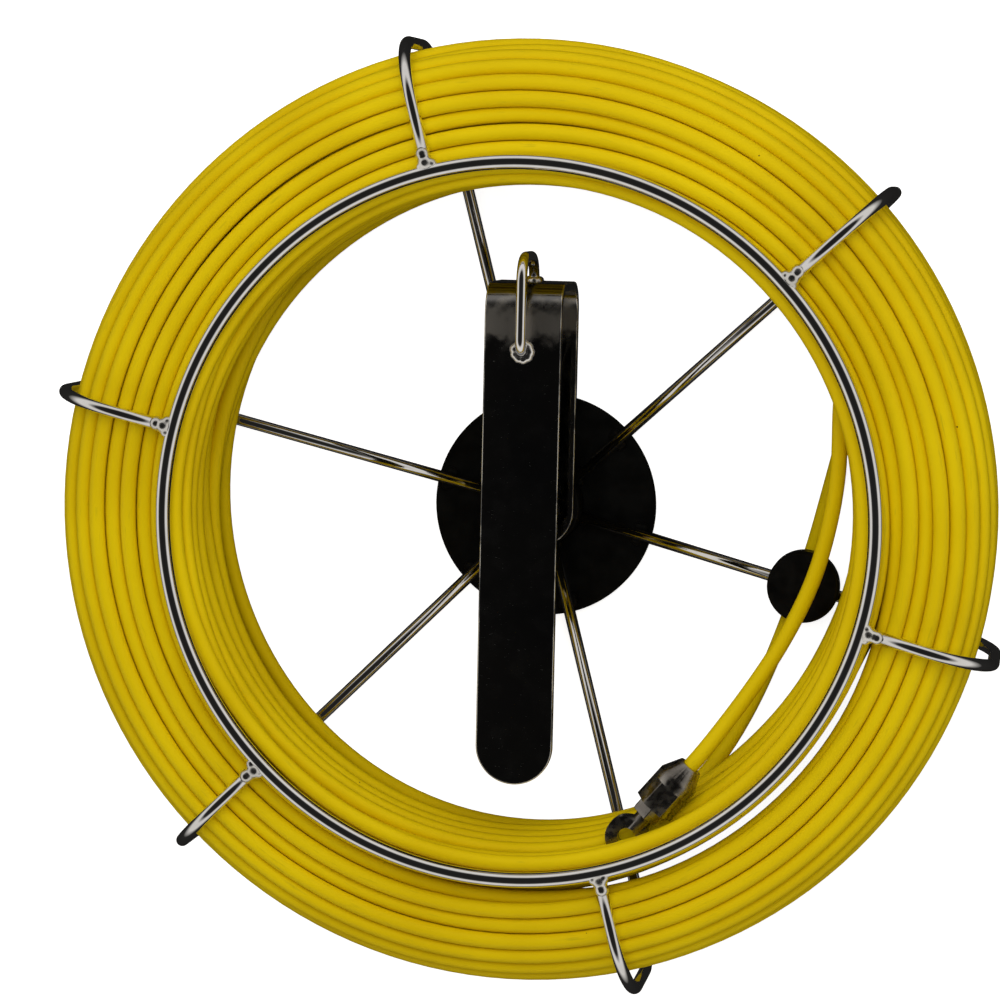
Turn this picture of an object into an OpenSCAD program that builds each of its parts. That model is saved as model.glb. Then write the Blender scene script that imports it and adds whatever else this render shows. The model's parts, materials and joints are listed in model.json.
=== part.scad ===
// Push rod reel: an open wire reel with a coil of rod, turning on an axle in a strap handle.
// It lies on its back. Z is the reel's axle, and the hub housing's rear face is at Z = 0.

/* [Wire frame] */
// Outer radius over the six hooks
reel_r = 160; // [150:1:180]
// Depth between the spokes and the front ring, wire centre to wire centre
frame_depth = 66; // [60:1:80]
// Wire diameter of the spokes and hooks
spoke_d = 4; // [3:0.5:5]
// Bend radius of the hooks, at the wire's centre
hook_bend = 22; // [20:1:26]
// Radius of the front ring, at the wire's centre
ring_r = 115; // [112:1:118]
// Wire diameter of the front ring
ring_d = 5; // [4:0.5:6]

/* [Hub] */
// Radius of the hub plate
plate_r = 37.5; // [30:0.5:45]
// Thickness of the hub plate
plate_t = 4; // [3:0.5:4]
// How far the housing stands out behind the plate
boss_h = 3; // [3:0.5:4]
// Outer radius of the bearing housing
housing_r = 13; // [13:0.5:15]
// Height of the bearing housing
housing_h = 17; // [17:0.5:17]
// Radius of the axle bolt
axle_r = 4; // [4:0.5:4]

/* [Puck] */
// Radius of the puck
puck_r = 12; // [10:0.5:13]
// Distance of the puck from the axle
puck_at = 91.5; // [90:0.5:92]
// Rear face of the puck
puck_lo = 5.6; // [5.6:0.1:5.8]
// Front face of the puck
puck_hi = 14.6; // [14:0.1:15]

/* [Handle] */
// Width of the strap
strap_w = 25; // [22:1:28]
// Thickness of the strap
strap_t = 3; // [2:0.5:3]
// Height of the strap's top above the axle
strap_top = 76.5; // [74:0.5:77]
// Length of the grip below the axle
grip_drop = 86; // [60:1:86]
// Front face of the rear leg, under the bolt's head
strap_lo = 27; // [26.5:0.5:27.5]
// Front face of the grip
strap_hi = 64; // [62:0.5:64]
// Outer bend radius of the strap
strap_bend = 10; // [8:1:12]

/* [Guide loop] */
// Wire diameter of the guide loop
loop_d = 3.5; // [3:0.5:4]
// Height of the loop's top above the axle, at the wire's centre
loop_top = 84.7; // [84:0.1:85]
// Height of the loop's lower weld above the axle
loop_foot = 54.4; // [50:0.1:56]
// Depth of the loop's rear leg, at the wire's centre
loop_lo = 42; // [41:0.5:44]
// Depth of the loop's front leg, at the wire's centre
loop_hi = 68.4; // [68:0.1:69]

/* [Rod] */
// Diameter of the rod
rod_d = 5.2; // [5:0.1:5.4]
// Inner radius of the coil
coil_in = 106; // [105:0.5:108]

/* [Rod end] */
// Radius of the steel ferrule
ferrule_r = 7; // [6:0.5:7]
// Direction of the ferrule, seen from the front
ferrule_angle = -130; // [-132:1:-128]

/* [Hidden] */
$fn = 96;

eps = 0.01;
clear = 0.3;              // gap between the coil and the wires round it
front_clear = 1.2;        // the same behind the front ring, where the welds need room
spoke_angles = [-15, 43, 105, 166.5, 225, 285]; // a hand-welded frame, a little off even spacing
spokes = len(spoke_angles);
spoke_r = spoke_d / 2;
spoke_z = boss_h + plate_t + spoke_r;
ring_z = spoke_z + frame_depth;
hook_r = reel_r - spoke_r;            // the hook's outer run, at the wire's centre
bend_at = hook_r - hook_bend;         // where the hook's two bends start
hook_end = ring_r + ring_d / 2;

weld_r = 3.6;             // bead round a wire at its joint
weld_len = 4;
rim_weld_r = 2.2;         // bead beside a spoke at the plate's rim
rim_weld_at = plate_r - 3;
weld_lift = 0.2;          // the bead round a spoke stops this far above the plate

counterbore_r = 10;       // room for the lock nut in the housing
counterbore_h = 10;
bush_r = 5.5;
bush_flange_r = 9;
bush_flange_t = 1.5;
run_fit = 0.05;           // radial clearance of the axle in its bush
end_play = 0.1;
hole_play = 0.1;          // radial clearance of the bolt in the handle's parts
washer_t = 1.6;
washer_r = 8;
spacer_r = 7;
hex_r = 13 / 2 / cos(30); // corner radius of a 13 mm hexagon
bolt_head_t = 5.3;
nut_t = 7.5;
bolt_tip_z = 0.6;

puck_chamfer = 1;
puck_screw_off = 7;       // screws sit this far to each side of the spoke
screw_r = 1.5;
screw_head_r = 2.8;
screw_head_t = 1.5;
screw_tip_z = 12.6;

loop_r = loop_d / 2;
loop_bend = 8;
loop_foot_bend = loop_hi - strap_hi;
foot_weld_r = 4.3;
top_weld_r = 3.4;
loop_weld_h = 2;

coil_lo = spoke_z + spoke_r + clear;
coil_hi = ring_z - ring_d / 2 - front_clear;
coil_bend = hook_bend - spoke_r - clear;
pocket_r = 9;             // room for the rod's end in the coil
pocket_len = 48;

rod_r = rod_d / 2;
rod_sides = 10;
bore_depth = 12;
cone_len = 6;
ferrule_len = 18;
flat_off = 6.1;           // the ferrule's spanner flats
flat_from = 9;
nut_from = ferrule_len;
nut_len = 4;
end_nut_r = 5.5;
eye_from = nut_from + nut_len;
stud_r = 3;
eye_r = 7;
eye_t = 5;
eye_hole_r = 3;
eye_at = eye_from + 9;

// Route of the free tail, from the coil to the ferrule's socket.
tail_route = [[104, 62, 58], [102.5, 51, 56.5], [101.5, 41, 55], [101.5, 30, 53], [101.5, 21, 51],
    [100.5, 11, 49], [99, 2, 47], [97, -7, 45.5], [94.5, -16, 44.5], [91, -25, 44], [87, -33.5, 44],
    [82.5, -42, 45.5], [77.5, -50, 48], [72.5, -57.5, 51.5], [67.5, -64.5, 55.5],
    [62.5, -71.3, 59.5], [57.5, -77.5, 61.5], [50, -86.4, 61.5]];
ferrule_at = tail_route[len(tail_route) - 2];   // where the rod enters the ferrule

// Route of the loose turn, out of the coil, behind the puck and back into the coil.
loose_route = [[108, 50, 29], [103.5, 37, 22], [99.5, 24, 15.5], [96.8, 12, 9.8], [94, 1, 5.4],
    [91.5, -9, 3], [88.8, -18, 2.8], [85.8, -27, 2.8], [82.5, -37, 2.8], [79.2, -46.5, 3.3],
    [75.5, -56.5, 5], [71.5, -65.5, 8], [67.5, -73.5, 11.5], [62.5, -82, 16], [56, -90.5, 21],
    [48, -98.5, 26]];

module at_spoke(i) {
    rotate([0, 0, spoke_angles[i]]) children();
}

// A straight wire along X.
module rod_x(r, from, to, z) {
    translate([from, 0, z]) rotate([0, 90, 0]) cylinder(r = r, h = to - from);
}

// A wire bend in the XZ plane about (x, z), from angle a through sweep.
module bend_xz(r, bend, x, z, a, sweep) {
    translate([x, 0, z]) rotate([90, 0, 0]) rotate([0, 0, a])
        rotate_extrude(angle = sweep) translate([bend, 0]) circle(r);
}

module hook_wire() {
    rod_x(spoke_r, housing_r, bend_at, spoke_z);
    bend_xz(spoke_r, hook_bend, bend_at, spoke_z + hook_bend, -90, 90);
    translate([hook_r, 0, spoke_z + hook_bend]) cylinder(r = spoke_r, h = frame_depth - 2 * hook_bend);
    bend_xz(spoke_r, hook_bend, bend_at, ring_z - hook_bend, 0, 90);
    rod_x(spoke_r, hook_end, bend_at, ring_z);
}

module spoke_hook(i) {
    color("silver") at_spoke(i) hook_wire();
}

module ring_wire() {
    translate([0, 0, ring_z]) rotate_extrude() translate([ring_r, 0]) circle(ring_d / 2);
}

module front_ring() {
    color("gainsboro") ring_wire();
}

module ring_welds() {
    color("silver") difference() {
        for (i = [0 : spokes - 1]) at_spoke(i) translate([ring_r, 0, ring_z]) rotate([0, 90, 0])
            cylinder(r1 = weld_r, r2 = spoke_r + 0.5, h = ring_d / 2 + weld_len);
        ring_wire();
        for (i = [0 : spokes - 1]) at_spoke(i) rod_x(spoke_r, ring_r, bend_at, ring_z);
    }
}

module hub_plate() {
    color([0.05, 0.05, 0.05]) translate([0, 0, boss_h]) difference() {
        cylinder(r = plate_r, h = plate_t);
        translate([0, 0, -eps]) cylinder(r = housing_r, h = plate_t + 2 * eps);
    }
}

module hub_housing() {
    color([0.1, 0.1, 0.1]) difference() {
        cylinder(r = housing_r, h = housing_h);
        translate([0, 0, -eps]) cylinder(r = counterbore_r, h = counterbore_h + eps);
        cylinder(r = bush_r, h = housing_h + eps);
    }
}

// A bead round each spoke's inner end, and one on each side of it at the plate's rim.
module hub_welds() {
    color([0.12, 0.12, 0.12]) for (i = [0 : spokes - 1]) at_spoke(i) {
        difference() {
            translate([housing_r - 1, 0, spoke_z]) rotate([0, 90, 0])
                cylinder(r1 = weld_r, r2 = spoke_r + 0.4, h = weld_len);
            cylinder(r = housing_r, h = housing_h);
            rod_x(spoke_r, 0, plate_r, spoke_z);
            translate([0, 0, boss_h]) cylinder(r = plate_r, h = plate_t + weld_lift);
        }
        for (side = [-1, 1]) difference() {
            translate([rim_weld_at, side * (spoke_r + 1), boss_h + plate_t]) sphere(rim_weld_r);
            rod_x(spoke_r, 0, plate_r + weld_len, spoke_z);
            translate([0, 0, boss_h]) cylinder(r = plate_r + weld_len, h = plate_t);
        }
    }
}

module axle_bush() {
    color("darkgoldenrod") difference() {
        union() {
            translate([0, 0, counterbore_h]) cylinder(r = bush_r, h = housing_h - counterbore_h);
            translate([0, 0, housing_h]) cylinder(r = bush_flange_r, h = bush_flange_t);
        }
        cylinder(r = axle_r + run_fit, h = housing_h + bush_flange_t + eps);
    }
}

module at_puck() {
    at_spoke(0) translate([puck_at, 0, 0]) children();
}

module screw_shape() {
    for (side = [-1, 1]) translate([0, side * puck_screw_off, puck_lo]) {
        cylinder(r1 = screw_head_r, r2 = screw_r, h = screw_head_t);
        cylinder(r = screw_r, h = screw_tip_z - puck_lo);
    }
}

// Half of the puck, from z = lo to hi, with its chamfer at the face away from the spoke.
module puck_half(lo, hi, flip) {
    difference() {
        translate([0, 0, flip ? lo + hi : 0]) mirror([0, 0, flip ? 1 : 0]) {
            translate([0, 0, lo]) cylinder(r = puck_r, h = hi - lo - puck_chamfer);
            translate([0, 0, hi - puck_chamfer])
                cylinder(r1 = puck_r, r2 = puck_r - puck_chamfer, h = puck_chamfer);
        }
        rod_x(spoke_r, -2 * puck_r, 2 * puck_r, spoke_z);
        screw_shape();
    }
}

module puck_front() {
    color([0.03, 0.03, 0.03]) at_puck() puck_half(spoke_z, puck_hi, false);
}

module puck_rear() {
    color([0.03, 0.03, 0.03]) at_puck() puck_half(puck_lo, spoke_z, true);
}

module puck_screws() {
    color("dimgray") at_puck() screw_shape();
}

module at_ferrule() {
    translate(ferrule_at) rotate([0, 0, ferrule_angle]) rotate([0, 90, 0]) children();
}

// The space that the rod's steel end needs, open towards the front.
module end_pocket() {
    at_ferrule() translate([0, 0, -pocket_r]) cylinder(r = pocket_r, h = pocket_len + pocket_r);
    translate(ferrule_at) rotate([0, 0, ferrule_angle])
        translate([-pocket_r, -pocket_r, 0]) cube([pocket_len + pocket_r, 2 * pocket_r, 2 * pocket_r]);
}

module cable_coil() {
    color("gold") difference() {
        rotate_extrude() {
            translate([coil_in, coil_lo]) square([bend_at - coil_in, coil_hi - coil_lo]);
            translate([bend_at, spoke_z + hook_bend])
                square([coil_bend, frame_depth - 2 * hook_bend]);
            translate([bend_at, spoke_z + hook_bend]) circle(coil_bend);
            translate([bend_at, ring_z - hook_bend]) intersection() {
                circle(coil_bend);
                translate([-coil_bend, -coil_bend])
                    square([2 * coil_bend, coil_bend + coil_hi - ring_z + hook_bend]);
            }
        }
        end_pocket();
    }
}

function unit(v) = v / norm(v);
function along(route, i) =
    unit(route[min(i + 1, len(route) - 1)] - route[max(i - 1, 0)]);
function ring_points(route, i) =
    let (t = along(route, i), u = unit(cross(t, [0, 0, 1])), v = cross(t, u))
    [for (k = [0 : rod_sides - 1]) let (a = 360 * k / rod_sides)
        route[i] + rod_r * (cos(a) * u + sin(a) * v)];

// A tube of the rod's size with one ring of points at each point of its route.
module rod_along(route) {
    n = rod_sides;
    last = (len(route) - 1) * n;
    polyhedron(
        points = [for (i = [0 : len(route) - 1]) each ring_points(route, i)],
        faces = concat(
            [[for (k = [0 : n - 1]) k]],
            [for (i = [0 : len(route) - 2], k = [0 : n - 1])
                [i * n + k, (i + 1) * n + k, (i + 1) * n + (k + 1) % n, i * n + (k + 1) % n]],
            [[for (k = [n - 1 : -1 : 0]) last + k]]));
}

module cable_tail() {
    color("gold") rod_along(tail_route);
}

module cable_loose_turn() {
    color("goldenrod") rod_along(loose_route);
}

module tail_ferrule() {
    color("slategray") at_ferrule() difference() {
        union() {
            cylinder(r1 = rod_r + 1.4, r2 = ferrule_r, h = cone_len);
            translate([0, 0, cone_len]) cylinder(r = ferrule_r, h = ferrule_len - cone_len);
        }
        translate([0, 0, -eps]) cylinder(r = rod_r, h = bore_depth + eps);
        for (a = [0 : 60 : 300]) rotate([0, 0, a]) translate([flat_off, -ferrule_r, flat_from])
            cube([ferrule_r, 2 * ferrule_r, ferrule_len]);
    }
}

module ferrule_nut() {
    color("lightsteelblue") at_ferrule() translate([0, 0, nut_from]) difference() {
        cylinder(r = end_nut_r, h = nut_len, $fn = 6);
        translate([0, 0, -eps]) cylinder(r = stud_r, h = nut_len + 2 * eps);
    }
}

module pull_eye() {
    color("silver") at_ferrule() difference() {
        union() {
            translate([0, 0, nut_from]) cylinder(r = stud_r, h = eye_at - nut_from);
            translate([eye_t / 2, 0, eye_at]) rotate([0, -90, 0]) cylinder(r = eye_r, h = eye_t);
        }
        translate([eye_t, 0, eye_at]) rotate([0, -90, 0]) cylinder(r = eye_hole_r, h = 2 * eye_t);
    }
}

// A quarter bend of the strap's side profile, about the origin, in the first quadrant.
module strap_corner() {
    intersection() {
        difference() {
            circle(strap_bend);
            circle(strap_bend - strap_t);
        }
        square(strap_bend);
    }
}

// Side profile: first axis is Y, second is Z.
module strap_profile() {
    lo = strap_lo - strap_t;
    hi = strap_hi;
    inner_top = strap_top - strap_bend;
    translate([0, lo]) square([inner_top, strap_t]);
    translate([inner_top, lo + strap_bend]) mirror([0, 1]) strap_corner();
    translate([strap_top - strap_t, lo + strap_bend]) square([strap_t, hi - lo - 2 * strap_bend]);
    translate([inner_top, hi - strap_bend]) strap_corner();
    translate([-grip_drop + strap_w / 2, hi - strap_t])
        square([inner_top + grip_drop - strap_w / 2, strap_t]);
}

module handle_strap() {
    color([0.15, 0.15, 0.16]) difference() {
        union() {
            translate([-strap_w / 2, 0, 0]) rotate([90, 0, 90])
                linear_extrude(height = strap_w) strap_profile();
            translate([0, 0, strap_lo - strap_t]) cylinder(d = strap_w, h = strap_t);
            translate([0, -grip_drop + strap_w / 2, strap_hi - strap_t])
                cylinder(d = strap_w, h = strap_t);
        }
        cylinder(r = axle_r + hole_play, h = strap_lo + eps);
    }
}

module axle_bolt() {
    color("silver") {
        translate([0, 0, bolt_tip_z]) cylinder(r = axle_r, h = strap_lo - bolt_tip_z);
        translate([0, 0, strap_lo]) cylinder(r = hex_r, h = bolt_head_t, $fn = 6);
    }
}

module washer(z, r, t, bore) {
    translate([0, 0, z]) difference() {
        cylinder(r = r, h = t);
        translate([0, 0, -eps]) cylinder(r = bore, h = t + 2 * eps);
    }
}

front_washer_z = housing_h + bush_flange_t + end_play;
rear_washer_z = counterbore_h - end_play - washer_t;

module washer_front() {
    color("lightgray") washer(front_washer_z, washer_r, washer_t, axle_r + hole_play);
}

module washer_rear() {
    color("lightgray") washer(rear_washer_z, washer_r, washer_t, axle_r + hole_play);
}

module axle_spacer() {
    spacer_z = front_washer_z + washer_t;
    color("gray") washer(spacer_z, spacer_r, strap_lo - strap_t - spacer_z, axle_r + hole_play);
}

module axle_lock_nut() {
    color("silver") translate([0, 0, rear_washer_z - nut_t]) difference() {
        cylinder(r = hex_r, h = nut_t, $fn = 6);
        translate([0, 0, -eps]) cylinder(r = axle_r, h = nut_t + 2 * eps);
    }
}

// The loop's wire lies in the YZ plane: foot bend, front leg, two top bends, rear leg.
module loop_wire() {
    rotate([0, 0, 90]) {
        bend_xz(loop_r, loop_foot_bend, loop_foot + loop_foot_bend, strap_hi, 90, 90);
        rod_x(loop_r, loop_foot + loop_foot_bend, loop_top - loop_bend, loop_hi);
        bend_xz(loop_r, loop_bend, loop_top - loop_bend, loop_hi - loop_bend, 0, 90);
        translate([loop_top, 0, loop_lo + loop_bend])
            cylinder(r = loop_r, h = loop_hi - loop_lo - 2 * loop_bend);
        bend_xz(loop_r, loop_bend, loop_top - loop_bend, loop_lo + loop_bend, -90, 90);
        rod_x(loop_r, strap_top, loop_top - loop_bend, loop_lo);
    }
}

module guide_loop() {
    color("gainsboro") loop_wire();
}

module loop_welds() {
    color("silver") difference() {
        union() {
            translate([0, loop_foot, strap_hi])
                cylinder(r1 = foot_weld_r, r2 = loop_r + 0.4, h = loop_weld_h);
            translate([0, strap_top, loop_lo]) rotate([-90, 0, 0])
                cylinder(r1 = top_weld_r, r2 = loop_r + 0.3, h = loop_weld_h);
        }
        loop_wire();
    }
}

front_ring();
for (i = [0 : spokes - 1]) spoke_hook(i);
ring_welds();
hub_plate();
hub_housing();
hub_welds();
axle_bush();
puck_front();
puck_rear();
puck_screws();
cable_coil();
cable_tail();
cable_loose_turn();
tail_ferrule();
ferrule_nut();
pull_eye();
handle_strap();
axle_bolt();
axle_spacer();
washer_front();
washer_rear();
axle_lock_nut();
guide_loop();
loop_welds();
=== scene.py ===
"""Looks for the push rod reel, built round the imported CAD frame. Metres, reel lying on its back."""
import json
import math

import bmesh
import bpy
import numpy as np
from mathutils import Matrix, Vector

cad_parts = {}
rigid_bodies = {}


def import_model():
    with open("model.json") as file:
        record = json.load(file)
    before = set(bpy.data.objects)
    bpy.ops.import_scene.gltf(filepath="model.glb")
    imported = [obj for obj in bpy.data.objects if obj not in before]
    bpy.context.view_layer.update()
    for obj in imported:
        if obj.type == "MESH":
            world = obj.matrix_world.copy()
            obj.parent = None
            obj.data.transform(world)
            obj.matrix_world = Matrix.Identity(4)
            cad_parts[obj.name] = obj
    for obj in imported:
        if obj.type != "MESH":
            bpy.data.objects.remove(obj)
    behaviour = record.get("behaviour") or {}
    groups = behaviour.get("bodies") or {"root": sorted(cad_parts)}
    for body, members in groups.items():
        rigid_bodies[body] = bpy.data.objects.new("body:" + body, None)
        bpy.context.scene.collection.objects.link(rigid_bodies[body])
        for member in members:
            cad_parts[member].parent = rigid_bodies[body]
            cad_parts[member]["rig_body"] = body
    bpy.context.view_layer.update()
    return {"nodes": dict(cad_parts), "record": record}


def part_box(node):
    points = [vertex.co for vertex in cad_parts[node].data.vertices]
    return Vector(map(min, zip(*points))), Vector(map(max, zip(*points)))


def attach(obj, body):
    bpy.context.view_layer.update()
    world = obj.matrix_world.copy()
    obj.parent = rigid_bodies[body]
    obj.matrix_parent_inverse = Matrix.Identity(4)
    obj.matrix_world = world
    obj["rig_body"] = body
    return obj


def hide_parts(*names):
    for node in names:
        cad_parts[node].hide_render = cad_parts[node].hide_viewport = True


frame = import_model()

MM = 0.001

# ------------------------------------------------------------------ driving sizes

ROD_D = 0.0052                    # the rod's diameter
SLICES = 48                       # points in one turn of the rod
TURN_GAP = 1.03                   # turns lie at least this many diameters apart
SETTLE_STEPS = 260

RING_LOW, RING_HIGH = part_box("front_ring")
RING_WIRE = (RING_HIGH.z - RING_LOW.z) / 2
RING_R = RING_HIGH.x - RING_WIRE
RING_Z = RING_HIGH.z - RING_WIRE
SPOKE_WIRE = 0.002
SPOKE_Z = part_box("spoke_hook_1")[0].z + SPOKE_WIRE
SPOKE_FROM = 0.013                # the spokes start at the hub housing
HOOK_R = 0.158                    # the hooks' outer run, at the wire's centre
HOOK_BEND = 0.022
SPOKE_ANGLES = (-15, 43, 105, 166.5, 225, 285)

COIL_LOW, COIL_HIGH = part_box("cable_coil")
COIL_R = COIL_HIGH.x
COIL_IN = 0.1060
COIL_BEND = 0.0197                # rounding of the coil's outer corners

STRAP_LOW, STRAP_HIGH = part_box("handle_strap")
LOOP_WIRE = 0.00175
LOOP_FOOT = 0.0544
LOOP_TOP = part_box("guide_loop")[1].y - LOOP_WIRE
LOOP_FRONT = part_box("guide_loop")[1].z - LOOP_WIRE
LOOP_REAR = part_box("guide_loop")[0].z + LOOP_WIRE
LOOP_BEND = 0.008

# How the rod's last turn comes round to the free tail, inside the coil.
TAIL_LEAD = np.array([[76.2, 102.2, 58.5], [89.4, 92, 59.8], [98.7, 78, 59.3]]) * MM
# The free tail's route, from the coil to the ferrule's socket.
TAIL = np.array([[104, 62, 58], [102.5, 51, 56.5], [101.5, 41, 55], [101.5, 30, 53],
                 [101.5, 21, 51], [100.5, 11, 49], [99, 2, 47], [97, -7, 45.5],
                 [94.5, -16, 44.5], [91, -25, 44], [87, -33.5, 44], [82.5, -42, 45.5],
                 [77.5, -50, 48], [72.5, -57.5, 51.5], [67.5, -64.5, 55.5],
                 [62.5, -71.3, 59.5], [57.5, -77.5, 61.5], [50, -86.4, 61.5]]) * MM
# The loose turn's route, out of the coil, behind the puck and back into the coil.
LOOSE = np.array([[102, 72.2, 34.2], [106.2, 61.3, 31.8], [108, 50, 29], [103.5, 37, 22],
                  [99.5, 24, 15.5], [96.8, 12, 9.8], [94, 1, 5.4], [91.5, -9, 3],
                  [88.8, -18, 2.8], [85.8, -27, 2.8], [82.5, -37, 2.8], [79.2, -46.5, 3.3],
                  [75.5, -56.5, 5], [71.5, -65.5, 8], [67.5, -73.5, 11.5], [62.5, -82, 16],
                  [56, -90.5, 21], [48, -98.5, 26]]) * MM


# ------------------------------------------------------------------ camera

EYE = Vector((0.1683, 0.1101, 1.1350))
AIM = Vector((-0.0094, 0.0046, 0.0440))
CAMERA_ROLL = 1.26                # degrees
LENS = 121.93


def make_camera():
    """A long lens above the reel, a little right of and above the axle."""
    data = bpy.data.cameras.new("camera")
    data.sensor_width = 36
    data.lens = LENS
    data.clip_start = 0.05
    camera = bpy.data.objects.new("camera", data)
    bpy.context.scene.collection.objects.link(camera)
    roll = Matrix.Rotation(math.radians(CAMERA_ROLL), 4, "Z")
    back = (EYE - AIM).normalized()
    side = Vector((0, 1, 0)).cross(back).normalized()
    up = back.cross(side)
    turn = Matrix((side, up, back)).transposed().to_4x4()
    camera.matrix_world = Matrix.Translation(EYE) @ turn @ roll
    bpy.context.scene.camera = camera


make_camera()


# ------------------------------------------------------------------ rod

GAP_ANGLE = 46                    # the turns part here, clockwise from +X
GAP_REACH = 33                    # as far as this to each side
GAP_HALF = 0.0010                 # half the gap's width, between the rods' surfaces
GAP_R = 0.1197                    # just outside the front ring, as the camera sees it
CORE_STEP = 0.0062                # the first turns lie loosely in the middle
CORE_INSET = 0.0072
RIM_STEP = 1.06 * ROD_D           # and the later ones line the coil's border
WALL_STEP = 0.0140                # but only a few line its inner wall
SWAY_KEPT = 0.5                   # how much of their sway the settled turns keep
PRESSED = 0.0025                  # how hard the inner turns lie against the inner wall
REAR_IN = 0.1046                  # the inner wall's radius at the rear, on average
REAR_SHIFT = 0.0032               # it is shifted by this, toward REAR_TOWARD degrees
REAR_TOWARD = 117
REAR_SAG = 0.0016                 # and sags inward by this at most
SAG_ANGLE = 42                    # round this angle, clockwise from +X
SAG_REACH = 27                    # as far as this to each side
FRONT_IN = 0.1086                 # the inner wall's radius at the front
OUTER_LEAN = 0.0016               # the outer side stands in by up to twice this
LEAN_ANGLE = 35                   # most of all at this angle, clockwise from +X


def polar(points):
    """Angle in degrees, radius and height of each point."""
    angle = np.degrees(np.arctan2(points[:, 1], points[:, 0]))
    return angle, np.hypot(points[:, 0], points[:, 1]), points[:, 2]


def coil_border(step, wall_step, inset):
    """Places about step apart round the coil's section: up its inner wall, where they are
    wall_step apart, out along the front, round the outer side and back along the rear."""
    shift = ROD_D / 2 + inset
    low, high = COIL_LOW.z + shift, COIL_HIGH.z - shift
    inner, outer = COIL_IN + shift, COIL_R - 0.0006 - shift
    bend = COIL_BEND - shift

    def run(a, b):
        return [(a[0] + (b[0] - a[0]) * t, a[1] + (b[1] - a[1]) * t)
                for t in np.linspace(0, 1, 60, endpoint=False)]

    def corner(z, first):
        return [(outer - bend + bend * math.cos(math.radians(first - t)),
                 z + bend * math.sin(math.radians(first - t)))
                for t in np.linspace(0, 90, 60, endpoint=False)]

    points = np.array(run((inner, high), (outer - bend, high))
                      + corner(high - bend, 90)
                      + run((outer, high - bend), (outer, low + bend))
                      + corner(low + bend, 0)
                      + run((outer - bend, low), (inner, low)))
    gone = np.r_[0, np.cumsum(np.linalg.norm(np.diff(points, axis=0), axis=1))]
    at = np.linspace(0, gone[-1], round(gone[-1] / step) + 1)
    rest = np.stack([np.interp(at, gone, points[:, k]) for k in (0, 1)], 1)
    up = np.linspace(low, high, round((high - low) / wall_step) + 1)[1:-1]
    return np.vstack([np.stack([np.full(len(up), inner), up], 1), rest])


def wrapped(angle):
    """The same angle between -180 and 180 degrees."""
    return (angle + 180) % 360 - 180


class Room:
    """The space that the rod's centre may take at each angle round the coil."""

    def __init__(self, angle):
        half = ROD_D / 2
        lean = 1 + np.cos(np.radians(angle + LEAN_ANGLE))
        sag = np.cos(np.radians((90 / SAG_REACH * wrapped(angle + SAG_ANGLE)).clip(-90, 90)))
        shift = REAR_SHIFT * np.cos(np.radians(angle - REAR_TOWARD))
        self.low, self.high = COIL_LOW.z + half, COIL_HIGH.z - half
        self.rear_in = REAR_IN + shift - REAR_SAG * sag + half
        self.front_in = FRONT_IN + half
        self.bend = COIL_BEND - half
        self.bend_at = COIL_R - OUTER_LEAN * lean - half - self.bend
        self.along_x, self.along_y = np.cos(np.radians(angle)), np.sin(np.radians(angle))

    def gap_off(self, r, z):
        """How far outside the gap's middle a place is seen, and the gap's half width there."""
        scale = (EYE.z - RING_Z) / (EYE.z - z)
        seen_x = EYE.x + (r * self.along_x - EYE.x) * scale
        seen_y = EYE.y + (r * self.along_y - EYE.y) * scale
        away = wrapped(np.degrees(np.arctan2(seen_y, seen_x)) + GAP_ANGLE)
        width = np.cos(np.radians(away * 90 / GAP_REACH)).clip(0, 0.65) / 0.65
        gap = np.where(abs(away) < GAP_REACH, GAP_HALF * width + ROD_D / 2, 0)
        return np.hypot(seen_x, seen_y) - GAP_R, gap

    def choose_sides(self, x):
        """Each turn passes the gap on one side of it: the one where it mostly lies."""
        off, gap = self.gap_off(x[..., 0], x[..., 1])
        self.side = np.where((off * (gap > 0)).sum(1) > 0, 1, -1)[:, None]

    def inner(self, z):
        """The inner wall's radius at each height: it leans in toward the rear."""
        up = ((z - self.low) / (self.high - self.low)).clip(0, 1)
        return self.rear_in + (self.front_in - self.rear_in) * up

    def keep(self, x, free):
        """Moves every free place x = (radius, height) to the nearest one in the room."""
        z = np.clip(x[..., 1], self.low, self.high)
        r = np.maximum(x[..., 0], self.inner(z))
        middle = np.clip(z, self.low + self.bend, self.high - self.bend)
        past = np.maximum(r - self.bend_at, 0)
        reach = np.hypot(past, z - middle)
        scale = np.minimum(1, self.bend / np.maximum(reach, 1e-9))
        outside = r > self.bend_at
        r = np.where(outside, self.bend_at + past * scale, r)
        z = np.where(outside, middle + (z - middle) * scale, z)
        off, gap = self.gap_off(r, z)
        r = r + np.where(gap > 0, self.side * np.maximum(gap - off * self.side, 0), 0)
        return np.where(free[..., None], np.stack([r, z], -1), x)


def wander(count, turn, seed):
    """Slow random sways of the rod along its length, about 1 at most, for both axes."""
    rng = np.random.default_rng(seed)
    out = np.zeros((count, 2))
    for axis in (0, 1):
        for beat, size in ((0.23, 1.0), (0.61, 0.8), (1.31, 0.7), (2.17, 0.5), (3.4, 0.25)):
            out[:, axis] += size * np.sin(2 * np.pi * beat * (turn + rng.uniform(0, 10)))
    return out / 1.2


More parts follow.
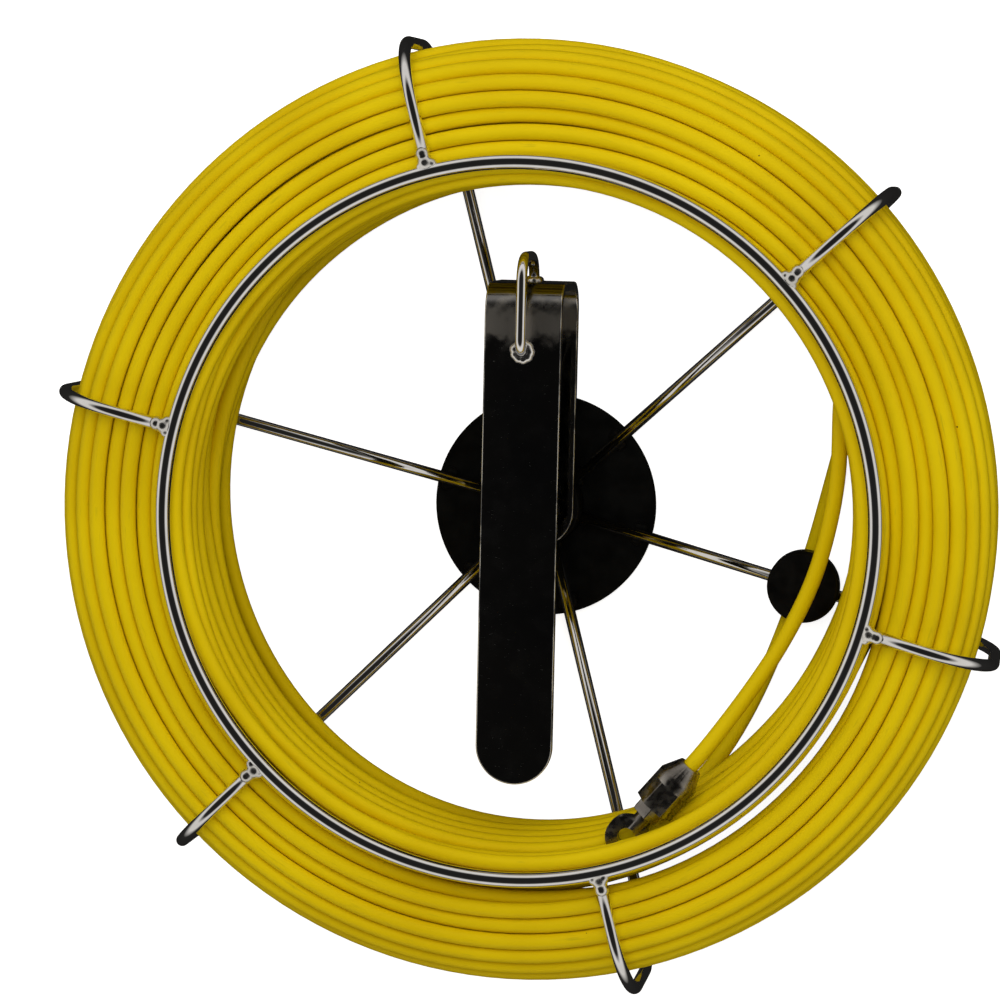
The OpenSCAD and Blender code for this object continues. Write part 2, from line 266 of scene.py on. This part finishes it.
def planned_places():
    """Where each point of the coiled rod would like to be, and which points are fixed."""
    core = coil_border(CORE_STEP, CORE_STEP, CORE_INSET)
    rim = coil_border(RIM_STEP, WALL_STEP, 0)
    sites = np.vstack([core, rim])
    turns = len(sites)
    count = turns * SLICES
    tail_angle, tail_r, tail_z = polar(TAIL)
    loose_angle, loose_r, loose_z = polar(LOOSE)
    left = (count - 1 - np.arange(count)) * 360 / SLICES     # degrees to go to the tail
    turn = np.arange(count) / SLICES
    x = np.stack([np.interp(turn, np.arange(turns), sites[:, k]) for k in (0, 1)], 1)
    size = np.interp(turn, [0, len(core), len(core) + 3, turns],
                     [0.0045, 0.004, 0.0016, 0.0016])
    sway = size[:, None] * wander(count, turn, seed=3)
    angle = tail_angle[0] + left
    near = 1 - (x[:, 0] - COIL_IN - ROD_D / 2) / 0.012
    lean = (Room(angle).inner(x[:, 1]) - PRESSED - COIL_IN - ROD_D / 2) * near.clip(0, 1)
    bent = SWAY_KEPT * sway
    bent[:, 0] += lean
    x[:, 0] += lean
    x += sway

    at = 360 + loose_angle - tail_angle[0]
    fixed = (left <= at[0]) & (left >= at[-1])
    x[fixed, 0] = np.interp(left[fixed], at[::-1], loose_r[::-1])
    x[fixed, 1] = np.interp(left[fixed], at[::-1], loose_z[::-1])
    climb = left < at[-1]
    done = 1 - left[climb] / at[-1]
    x[climb, 0] = np.interp(done, [0, 0.15, 0.72, 0.916], [loose_r[-1], 0.110, 0.113, 0.1275])
    x[climb, 1] = np.interp(done, [0, 0.05, 0.12, 0.78, 0.916],
                            [loose_z[-1], 0.031, 0.034, 0.050, 0.0585])
    lead_angle, lead_r, lead_z = polar(np.vstack([TAIL_LEAD, TAIL[:1]]))
    last = left <= lead_angle[0] - tail_angle[0]
    for k, values in ((0, lead_r), (1, lead_z)):
        x[last, k] = np.interp(left[last], (lead_angle - tail_angle[0])[::-1], values[::-1])
    fixed |= last
    before = (left > at[0]) & (left < at[0] + 120)
    mix = ((left[before] - at[0]) / 120)[:, None]
    x[before] = np.array([loose_r[0], loose_z[0]]) * (1 - mix) + x[before] * mix
    return x, fixed, angle, bent


def smoothed(x, free):
    """One pass of the rod's stiffness along its length."""
    out = x.copy()
    for _ in range(2):
        out[1:-1] += 0.5 * ((out[:-2] + out[2:]) / 2 - out[1:-1])
    return np.where(free[:, None], out, x)


def pushed_apart(x, free):
    """Moves turns that lie closer than TURN_GAP diameters away from each other."""
    turns = len(x)
    step = x[:, None] - x[None]
    far = np.sqrt((step ** 2).sum(-1)) + 1e-9
    over = np.clip(ROD_D * TURN_GAP - far, 0, None)
    over[np.arange(turns), np.arange(turns)] = 0
    move = (step / far[..., None] * over[..., None] * 0.5).sum(1)
    near = (over > 0).sum(1)
    ease = np.where(near > 1, 1.6, 1.15) / np.maximum(near, 1)
    return x + np.where(free[..., None], move * ease[..., None], 0)


def settled_rod():
    """The rod's centreline: the coil's turns, laid and settled against each other, then
    the loose turn and the free tail."""
    plan, fixed, angle, bent = planned_places()
    free = ~fixed
    table = (-1, SLICES)
    room = Room(angle.reshape(table))
    room.choose_sides(plan.reshape(-1, SLICES, 2))
    x = plan.copy()
    for step in range(SETTLE_STEPS):
        x = bent + smoothed(x - bent, free)
        pull = 0.04 if step < 0.6 * SETTLE_STEPS else 0.02
        x = x + np.where(free[:, None], pull * (plan - x), 0)
        x = x.reshape(-1, SLICES, 2)
        for _ in range(3):
            x = room.keep(pushed_apart(x, free.reshape(table)), free.reshape(table))
        x = x.reshape(-1, 2)
    a = np.radians(angle)
    coil = np.stack([x[:, 0] * np.cos(a), x[:, 0] * np.sin(a), x[:, 1]], 1)
    return np.vstack([coil, TAIL[1:]])


def make_rod(points, material):
    """The rod as one smooth curve of its real length."""
    data = bpy.data.curves.new("rod", "CURVE")
    data.dimensions = "3D"
    data.resolution_u = 3
    data.bevel_depth = ROD_D / 2
    data.bevel_resolution = 5
    data.use_fill_caps = True
    spline = data.splines.new("NURBS")
    spline.points.add(len(points) - 1)
    spline.points.foreach_set("co", np.c_[points, np.ones(len(points))].ravel())
    spline.order_u = 4
    spline.use_endpoint_u = True
    spline.use_smooth = True
    rod = bpy.data.objects.new("rod", data)
    bpy.context.scene.collection.objects.link(rod)
    data.materials.append(material)
    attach(rod, "reel")
    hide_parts("cable_coil", "cable_tail", "cable_loose_turn")
    return rod


# ------------------------------------------------------------------ materials

class Shader:
    """A material with one Principled shader, and short ways to add its nodes."""

    def __init__(self, name):
        self.material = bpy.data.materials.new(name)
        self.material.use_nodes = True
        self.tree = self.material.node_tree
        self.surface = self.tree.nodes["Principled BSDF"]
        self.place = self.tree.nodes.new("ShaderNodeTexCoord").outputs["Object"]

    def add(self, kind, inputs=None, **settings):
        node = self.tree.nodes.new(kind)
        for key, value in settings.items():
            setattr(node, key, value)
        for key, value in (inputs or {}).items():
            if isinstance(value, bpy.types.NodeSocket):
                self.tree.links.new(value, node.inputs[key])
            else:
                node.inputs[key].default_value = value
        return node

    def set(self, **values):
        for key, value in values.items():
            socket = self.surface.inputs[key.replace("_", " ")]
            if isinstance(value, bpy.types.NodeSocket):
                self.tree.links.new(value, socket)
            else:
                socket.default_value = value

    def noise(self, scale, detail=2.0, place=None, roughness=0.5):
        return self.add("ShaderNodeTexNoise", {"Vector": place or self.place, "Scale": scale,
                                               "Detail": detail, "Roughness": roughness}
                        ).outputs["Fac"]

    def stretched(self, scale):
        return self.add("ShaderNodeMapping", {"Vector": self.place, "Scale": scale}
                        ).outputs["Vector"]

    def ramp(self, fac, low, high, start=0.35, end=0.65):
        """A blend from low to high as fac goes from start to end."""
        node = self.add("ShaderNodeValToRGB", {"Fac": fac})
        for element, at, value in zip(node.color_ramp.elements, (start, end), (low, high)):
            element.position = at
            element.color = (*value, 1) if isinstance(value, tuple) else (value,) * 3 + (1,)
        return node.outputs["Color"]

    def mix(self, fac, a, b, blend="MIX"):
        node = self.add("ShaderNodeMix", data_type="RGBA", blend_type=blend)
        for socket, value in ((node.inputs["Factor"], fac), (node.inputs[6], a),
                              (node.inputs[7], b)):
            if isinstance(value, bpy.types.NodeSocket):
                self.tree.links.new(value, socket)
            elif isinstance(value, tuple):
                socket.default_value = (*value, 1)
            else:
                socket.default_value = value
        return node.outputs[2]

    def bump(self, height, distance, strength=1.0):
        self.set(Normal=self.add("ShaderNodeBump", {"Height": height, "Distance": distance,
                                                    "Strength": strength}).outputs["Normal"])


def round_axle(shader, around, across):
    """Coordinates that follow the windings: short steps along them, long steps across."""
    split = shader.add("ShaderNodeSeparateXYZ", {"Vector": shader.place}).outputs
    angle = shader.add("ShaderNodeMath", {0: split["Y"], 1: split["X"]}, operation="ARCTAN2")
    x2 = shader.add("ShaderNodeMath", {0: split["X"], 1: 2.0}, operation="POWER")
    y2 = shader.add("ShaderNodeMath", {0: split["Y"], 1: 2.0}, operation="POWER")
    sum2 = shader.add("ShaderNodeMath", {0: x2.outputs[0], 1: y2.outputs[0]}, operation="ADD")
    radius = shader.add("ShaderNodeMath", {0: sum2.outputs[0], 1: 0.5}, operation="POWER")
    joined = shader.add("ShaderNodeCombineXYZ", {"X": angle.outputs[0],
                                                 "Y": radius.outputs[0], "Z": split["Z"]})
    return shader.add("ShaderNodeMapping", {"Vector": joined.outputs[0],
                                            "Scale": (around, across, across)}
                      ).outputs["Vector"]


def jacket():
    """Satin yellow jacket: patches a shade deeper, fine lengthwise scuffs, a few specks."""
    shader = Shader("rod_jacket")
    run = round_axle(shader, 6.0, 420.0)
    shade = shader.ramp(shader.noise(14, 3), (0.72, 0.505, 0.001), (0.82, 0.605, 0.002))
    scuff = shader.ramp(shader.noise(2.2, 5, run), 0.0, 1.0, 0.62, 0.78)
    worn = shader.mix(scuff, shade, (0.62, 0.47, 0.004))
    speck = shader.ramp(shader.noise(520, 1), 0.0, 1.0, 0.83, 0.84)
    shader.set(Base_Color=shader.mix(speck, worn, (0.10, 0.06, 0.01)),
               Roughness=shader.ramp(shader.noise(3.0, 4, run), 0.48, 0.62),
               Specular_IOR_Level=0.12)
    shader.bump(shader.noise(1.6, 4, run), 0.00004, 0.4)
    return shader.material


def chrome(name, tone=0.86):
    """Bright plate over drawn wire, with faint haze and ripples."""
    shader = Shader(name)
    haze = shader.noise(160, 4)
    shader.set(Base_Color=shader.ramp(haze, (tone * 0.93,) * 3, (tone, tone, tone * 1.02)),
               Metallic=1.0,
               Roughness=shader.ramp(shader.noise(420, 3), 0.035, 0.10))
    shader.bump(shader.noise(95, 2), 0.00012, 0.35)
    return shader.material


def plated(name, dark, light, rough, grain, depth):
    """Plain metal with mottled colour, uneven roughness and fine grain."""
    shader = Shader(name)
    shader.set(Base_Color=shader.ramp(shader.noise(grain / 4, 4), dark, light),
               Metallic=1.0,
               Roughness=shader.ramp(shader.noise(grain, 3), *rough))
    shader.bump(shader.noise(grain * 1.7, 3), depth, 0.5)
    return shader.material


def coated(name, dark, light, rough, grain, depth, specular=0.4):
    """Paint or plastic with mottled colour, uneven roughness and fine grain."""
    shader = Shader(name)
    shader.set(Base_Color=shader.ramp(shader.noise(grain / 6, 4), dark, light),
               Roughness=shader.ramp(shader.noise(grain / 2, 3), *rough),
               Specular_IOR_Level=specular)
    shader.bump(shader.noise(grain, 3), depth, 0.5)
    return shader.material


HAZE_AND_REFLECTION_LOW = 0.060                  # the strap is hazy, and painted lighter grey as a painted reflection, between these heights above the axle
HAZE_AND_REFLECTION_HIGH = 0.080


def strap_plate():
    """Glossy black nickel over flat steel: wavy, mottled, with fine scratches and dust, and a rougher
    band at one height painted lighter grey as a painted reflection.
    """
    shader = Shader("black_strap")
    mottle = shader.noise(180, 6)
    cloud = shader.noise(28, 3)
    scratch = shader.ramp(shader.noise(1.0, 3, shader.stretched((700, 2200, 900))), 0.0, 1.0,
                          0.70, 0.74)
    dust = shader.ramp(shader.noise(1300, 1), 0.0, 1.0, 0.80, 0.83)
    base = shader.mix(shader.ramp(cloud, 0.0, 1.0), (0.135, 0.137, 0.145),
                      (0.185, 0.180, 0.172))
    marked = shader.mix(scratch, base, (0.26, 0.26, 0.26))
    rough = shader.ramp(mottle, 0.07, 0.20)
    height = shader.add("ShaderNodeSeparateXYZ", {"Vector": shader.place}).outputs["Y"]
    ragged = shader.add("ShaderNodeMath", {0: shader.noise(240, 4), 1: 0.012, 2: height},
                        operation="MULTIPLY_ADD").outputs[0]
    across = shader.add("ShaderNodeMapRange", {"Value": ragged, "From Min": HAZE_AND_REFLECTION_LOW,
                                               "From Max": HAZE_AND_REFLECTION_HIGH}).outputs["Result"]
    # A band across the strap at one height: rougher there (haze), and its lighter grey colour is a
    # painted reflection.
    haze = shader.ramp(across, 0.0, 0.0, 0.1, 0.9)
    band = haze.node.color_ramp.elements
    for at in (0.3, 0.6):
        band.new(at).color = (1, 1, 1, 1)
    # Painted reflection: the band's base colour is lightened to grey.
    marked_with_painted_reflection = shader.mix(haze, marked, (0.43, 0.41, 0.38))
    shader.set(Base_Color=shader.mix(dust, marked_with_painted_reflection, (0.55, 0.55, 0.54)), Metallic=1.0,
               Roughness=shader.mix(haze, shader.mix(scratch, rough, (0.36, 0.36, 0.36)),
                                    (0.45, 0.45, 0.45)))
    shader.bump(mottle, 0.00008, 0.35)
    return shader.material


def worn_edge():
    """The strap's edges, where the plate is rubbed through to bright steel in places."""
    shader = Shader("worn_edge")
    bare = shader.ramp(shader.noise(60, 5), 0.0, 1.0, 0.44, 0.52)
    shader.set(Base_Color=shader.mix(bare, (0.16, 0.16, 0.165), (0.66, 0.65, 0.62)),
               Metallic=1.0,
               Roughness=shader.ramp(shader.noise(300, 3), 0.14, 0.30))
    shader.bump(shader.noise(420, 3), 0.0001, 0.4)
    return shader.material


MATERIALS = {
    "rod_jacket": jacket(),
    "chrome_ring": chrome("chrome_ring"),
    "chrome_spokes": chrome("chrome_spokes", 0.82),
    "chrome_loop": chrome("chrome_loop", 0.88),
    "weld_bead": plated("weld_bead", (0.66, 0.65, 0.63), (0.86, 0.85, 0.83), (0.14, 0.32),
                        400, 0.00008),
    "black_strap": strap_plate(),
    "worn_edge": worn_edge(),
    "black_hub": coated("black_hub", (0.0015, 0.0015, 0.0014), (0.004, 0.004, 0.0036),
                        (0.42, 0.6), 900, 0.00006, 0.12),
    "puck_plastic": coated("puck_plastic", (0.0018, 0.0017, 0.0015), (0.005, 0.0048, 0.0044),
                           (0.36, 0.5), 1400, 0.00005, 0.15),
    "dark_screws": plated("dark_screws", (0.12, 0.12, 0.13), (0.24, 0.24, 0.25), (0.28, 0.45),
                          900, 0.00005),
    "bronze_bush": plated("bronze_bush", (0.42, 0.25, 0.09), (0.62, 0.42, 0.19), (0.25, 0.42),
                          800, 0.00005),
    "dark_steel": plated("dark_steel", (0.20, 0.185, 0.17), (0.46, 0.44, 0.41), (0.18, 0.36),
                         500, 0.00008),
    "zinc_steel": plated("zinc_steel", (0.50, 0.50, 0.51), (0.70, 0.70, 0.72), (0.20, 0.38),
                         650, 0.00006),
}


# ------------------------------------------------------------------ pieces

source_slots = {part["node"]: part["material_slot"] for part in frame["record"]["subparts"]}


def new_piece(name, mesh, slot, body, *nodes):
    """Puts a mesh in the scene as a piece that rides on a body and stands for CAD nodes."""
    piece = bpy.data.objects.new(name, mesh)
    bpy.context.scene.collection.objects.link(piece)
    mesh.materials.append(MATERIALS[slot])
    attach(piece, body)
    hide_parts(*nodes)
    return piece


def bent_path(corners, bends, step):
    """Points along straight runs through the corners, with an arc of each bend's radius."""
    corners = [Vector(c) for c in corners]
    points = [corners[0]]
    for before, here, after, bend in zip(corners, corners[1:], corners[2:], bends):
        into, out = (here - before).normalized(), (after - here).normalized()
        turn = into.angle(out)
        cut = bend * math.tan(turn / 2)
        centre = here - into * cut + (out - into * into.dot(out)).normalized() * bend
        first = here - into * cut - centre
        axis = into.cross(out)
        parts = max(8, round(bend * turn / step))
        for k in range(parts + 1):
            points.append(centre + Matrix.Rotation(turn * k / parts, 3, axis) @ first)
    points.append(corners[-1])
    return points


def plane_normal(points):
    """The normal of the plane that a bent wire lies in."""
    first = points[0]
    middle = points[len(points) // 2]
    last = points[-1 - len(points) // 5]
    return (middle - first).cross(last - first).normalized()


def wire_mesh(name, points, radius, sides=24, closed=False):
    """A round wire along points that lie in one plane."""
    mesh = bpy.data.meshes.new(name)
    bm = bmesh.new()
    count = len(points)
    across = plane_normal(points)
    rings = []
    for k, point in enumerate(points):
        after = points[(k + 1) % count if closed else min(k + 1, count - 1)]
        before = points[(k - 1) % count if closed else max(k - 1, 0)]
        along = (after - before).normalized()
        other = along.cross(across)
        rings.append([bm.verts.new(point + radius * (math.cos(a) * across + math.sin(a) * other))
                      for a in np.linspace(0, 2 * math.pi, sides, endpoint=False)])
    pairs = zip(rings, rings[1:] + rings[:1]) if closed else zip(rings, rings[1:])
    for ring, following in pairs:
        for k in range(sides):
            j = (k + 1) % sides
            bm.faces.new((ring[k], ring[j], following[j], following[k]))
    if not closed:
        bm.faces.new(rings[0][::-1])
        bm.faces.new(rings[-1])
    bmesh.ops.recalc_face_normals(bm, faces=bm.faces)
    for face in bm.faces:
        face.smooth = len(face.verts) == 4
    bm.to_mesh(mesh)
    bm.free()
    return mesh


def spoke_turn(k):
    return Matrix.Rotation(math.radians(SPOKE_ANGLES[k]), 3, "Z")


def make_ring():
    around = np.linspace(0, 2 * math.pi, 360, endpoint=False)
    points = [Vector((RING_R * math.cos(a), RING_R * math.sin(a), RING_Z)) for a in around]
    mesh = wire_mesh("ring", points, RING_WIRE, 28, closed=True)
    new_piece("ring", mesh, "chrome_ring", "reel", "front_ring")


def make_hook(k):
    """A spoke that bends round the coil at its end and comes back to the ring."""
    corners = ((SPOKE_FROM, 0, SPOKE_Z), (HOOK_R, 0, SPOKE_Z), (HOOK_R, 0, RING_Z),
               (RING_R + RING_WIRE, 0, RING_Z))
    points = [spoke_turn(k) @ p for p in bent_path(corners, (HOOK_BEND,) * 2, 0.0012)]
    mesh = wire_mesh(f"hook_{k + 1}", points, SPOKE_WIRE)
    new_piece(f"hook_{k + 1}", mesh, "chrome_spokes", "reel", f"spoke_hook_{k + 1}")


def make_loop():
    """The wire loop at the handle's top: welded foot, front leg, top, short rear leg."""
    corners = ((0, LOOP_FOOT, STRAP_HIGH.z), (0, LOOP_FOOT, LOOP_FRONT),
               (0, LOOP_TOP, LOOP_FRONT), (0, LOOP_TOP, LOOP_REAR),
               (0, STRAP_HIGH.y, LOOP_REAR))
    bends = (LOOP_FRONT - STRAP_HIGH.z - 0.0001, LOOP_BEND, LOOP_BEND)
    points = bent_path(corners, bends, 0.0006)
    mesh = wire_mesh("loop", points, LOOP_WIRE)
    new_piece("loop", mesh, "chrome_loop", "handle", "guide_loop")


def evaluated(piece):
    """A mesh with the piece's modifiers applied."""
    graph = bpy.context.evaluated_depsgraph_get()
    return bpy.data.meshes.new_from_object(piece.evaluated_get(graph))


def bead_mesh(name, lumps, voxel):
    """Weld metal: overlapping lumps (place, radius) run together into one skin."""
    bm = bmesh.new()
    for place, radius in lumps:
        made = bmesh.ops.create_icosphere(bm, subdivisions=3, radius=radius)
        bmesh.ops.translate(bm, verts=made["verts"], vec=place)
    rough = bpy.data.meshes.new(name)
    bm.to_mesh(rough)
    bm.free()
    scratch = bpy.data.objects.new(name, rough)
    bpy.context.scene.collection.objects.link(scratch)
    remesh = scratch.modifiers.new("remesh", "REMESH")
    remesh.mode = "VOXEL"
    remesh.voxel_size = voxel
    relax = scratch.modifiers.new("relax", "SMOOTH")
    relax.iterations = 8
    relax.factor = 0.5
    mesh = evaluated(scratch)
    bpy.data.objects.remove(scratch)
    for polygon in mesh.polygons:
        polygon.use_smooth = True
    return mesh


def ring_lumps(rng):
    """The small lumps where each hook's end meets the ring."""
    lumps = []
    for k in range(len(SPOKE_ANGLES)):
        turn = spoke_turn(k)
        meet = RING_R + RING_WIRE
        for out, side, up, size in ((0.0006, 0, 0.0004, 2.7), (0.0034, 0.0001, 0.0002, 2.45),
                                    (-0.0004, 0.0018, 0.0004, 1.8),
                                    (-0.0004, -0.0018, 0.0004, 1.8)):
            jitter = Vector(rng.uniform(-0.0003, 0.0003, 3))
            jitter.z = abs(jitter.z)
            lumps.append((turn @ (Vector((meet + out, side, RING_Z + up)) + jitter), size * MM))
    return lumps


def hub_lumps(rng):
    """A bead round each spoke's inner end, and one to each side of it at the plate's rim."""
    plate_low, plate_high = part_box("hub_plate")
    lumps = []
    for k in range(len(SPOKE_ANGLES)):
        turn = spoke_turn(k)
        for along, side, size in ((SPOKE_FROM + 0.0012, 0.0012, 1.9),
                                  (SPOKE_FROM + 0.0010, -0.0014, 1.8),
                                  (plate_high.x - 0.0030, 0.0023, 1.7),
                                  (plate_high.x - 0.0036, -0.0023, 1.6),
                                  (plate_high.x - 0.0048, 0.0021, 1.4),
                                  (plate_high.x - 0.0054, -0.0021, 1.4)):
            jitter = Vector((*rng.uniform(-0.0004, 0.0004, 2), 0))
            place = Vector((along, side, plate_high.z + 0.0007)) + jitter
            lumps.append((turn @ place, size * MM))
    return lumps


def loop_lumps(rng):
    """The weld round the loop's foot on the strap's face, and round its rear end."""
    lumps = []
    for k in range(9):
        a = 2 * math.pi * k / 9
        size = rng.uniform(1.5, 2.1)
        lumps.append((Vector((0.0024 * math.cos(a), LOOP_FOOT + 0.0024 * math.sin(a),
                              STRAP_HIGH.z + 0.0002)), size * MM))
        lumps.append((Vector((0.0018 * math.cos(a), STRAP_HIGH.y + 0.0002,
                              LOOP_REAR + 0.0018 * math.sin(a))), size * 0.8 * MM))
    return lumps


def make_welds():
    rng = np.random.default_rng(11)
    new_piece("ring_beads", bead_mesh("ring_beads", ring_lumps(rng), 0.00035), "weld_bead",
              "reel", "ring_welds")
    new_piece("hub_beads", bead_mesh("hub_beads", hub_lumps(rng), 0.0004), "black_hub",
              "reel", "hub_welds")
    new_piece("loop_beads", bead_mesh("loop_beads", loop_lumps(rng), 0.0003), "weld_bead",
              "handle", "loop_welds")


def eased(node, width, edge_slot=None):
    """A copy of a CAD piece with its sharp edges broken, as a made part has them."""
    source = frame["nodes"][node]
    bm = bmesh.new()
    bm.from_mesh(source.data)
    bmesh.ops.remove_doubles(bm, verts=bm.verts, dist=0.00001)
    bmesh.ops.dissolve_limit(bm, angle_limit=math.radians(0.5), verts=bm.verts, edges=bm.edges)
    mesh = bpy.data.meshes.new(node + "_eased")
    bm.to_mesh(mesh)
    bm.free()
    slot = source_slots[node]
    piece = new_piece(node + "_eased", mesh, slot, source["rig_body"], node)
    if edge_slot:
        mesh.materials.append(MATERIALS[edge_slot])
    bevel = piece.modifiers.new("edges", "BEVEL")
    bevel.width = width
    bevel.segments = 3
    bevel.limit_method = "ANGLE"
    bevel.angle_limit = math.radians(35)
    bevel.material = 1 if edge_slot else -1
    bevel.harden_normals = False
    mesh = evaluated(piece)
    piece.modifiers.clear()
    piece.data = mesh
    mesh.set_sharp_from_angle(angle=math.radians(28))
    for polygon in mesh.polygons:
        polygon.use_smooth = True
    return piece


rod_points = settled_rod()
rod = make_rod(rod_points, MATERIALS["rod_jacket"])
make_ring()
for k in range(len(SPOKE_ANGLES)):
    make_hook(k)
make_loop()
make_welds()

end_pieces = [eased("tail_ferrule", 0.0004), eased("ferrule_nut", 0.0004),
              eased("pull_eye", 0.0006)]
eased("handle_strap", 0.0005, "worn_edge")
for node, width in (("hub_plate", 0.0005), ("hub_housing", 0.0006), ("axle_bush", 0.0003),
                    ("puck_front", 0.0003), ("puck_rear", 0.0003), ("axle_bolt", 0.0005),
                    ("axle_spacer", 0.0003), ("washer_front", 0.0002),
                    ("washer_rear", 0.0002), ("axle_lock_nut", 0.0005)):
    eased(node, width)

for node, piece in frame["nodes"].items():
    piece.data.materials.clear()
    piece.data.materials.append(MATERIALS[source_slots[node]])


# ------------------------------------------------------------------ floor and light

def make_floor():
    """A plain white floor that only the camera sees, so bright that shadow hardly shows."""
    mesh = bpy.data.meshes.new("floor")
    half = 4.0
    mesh.from_pydata([(-half, -half, 0), (half, -half, 0), (half, half, 0), (-half, half, 0)],
                     [], [(0, 1, 2, 3)])
    floor = bpy.data.objects.new("floor", mesh)
    bpy.context.scene.collection.objects.link(floor)
    floor.visible_diffuse = False
    floor.visible_glossy = False
    shader = Shader("floor")
    shader.set(Base_Color=(0.9, 0.9, 0.9, 1), Roughness=1.0, Specular_IOR_Level=0.0,
               Emission_Color=(1, 1, 1, 1), Emission_Strength=0.85)
    mesh.materials.append(shader.material)


def make_light(name, place, aim, size, power):
    """A soft light that itself shows in no picture or reflection."""
    data = bpy.data.lights.new(name, "AREA")
    data.shape = "RECTANGLE"
    data.size, data.size_y = size
    data.energy = power
    light = bpy.data.objects.new(name, data)
    light.location = place
    light.rotation_euler = (Vector(aim) - Vector(place)).to_track_quat("-Z", "Y").to_euler()
    light.visible_glossy = False
    light.visible_camera = False
    bpy.context.scene.collection.objects.link(light)


def make_world():
    """A bright room all round, dark underneath and over the camera."""
    world = bpy.data.worlds.new("world")
    bpy.context.scene.world = world
    world.use_nodes = True
    tree = world.node_tree
    place = tree.nodes.new("ShaderNodeTexCoord")
    split = tree.nodes.new("ShaderNodeSeparateXYZ")
    ramp = tree.nodes.new("ShaderNodeValToRGB")
    tree.links.new(place.outputs["Generated"], split.inputs[0])
    half = tree.nodes.new("ShaderNodeMath")
    half.operation = "MULTIPLY_ADD"
    half.inputs[1].default_value = 0.5
    half.inputs[2].default_value = 0.5
    tree.links.new(split.outputs["Z"], half.inputs[0])
    tree.links.new(half.outputs[0], ramp.inputs["Fac"])
    tree.links.new(ramp.outputs["Color"], tree.nodes["Background"].inputs["Color"])
    stops = ((0.0, 0.02), (0.40, 0.03), (0.50, 0.45), (0.60, 1.0), (0.78, 1.0), (0.84, 0.4),
             (0.88, 0.03), (1.0, 0.02))
    elements = ramp.color_ramp.elements
    while len(elements) < len(stops):
        elements.new(0.5)
    for element, (at, value) in zip(elements, stops):
        element.position = at
        element.color = (value, value * 0.96, value * 0.90, 1)
    tree.nodes["Background"].inputs["Strength"].default_value = 0.72


make_floor()
make_world()
make_light("top", (0.1, 0.4, 0.8), (0.02, 0.1, 0), (0.6, 0.6), 3.0)
make_light("overhead", (0, 0.1, 1.7), (0, 0, 0.03), (1.0, 1.0), 5.0)
bpy.context.scene.view_settings.view_transform = "Standard"
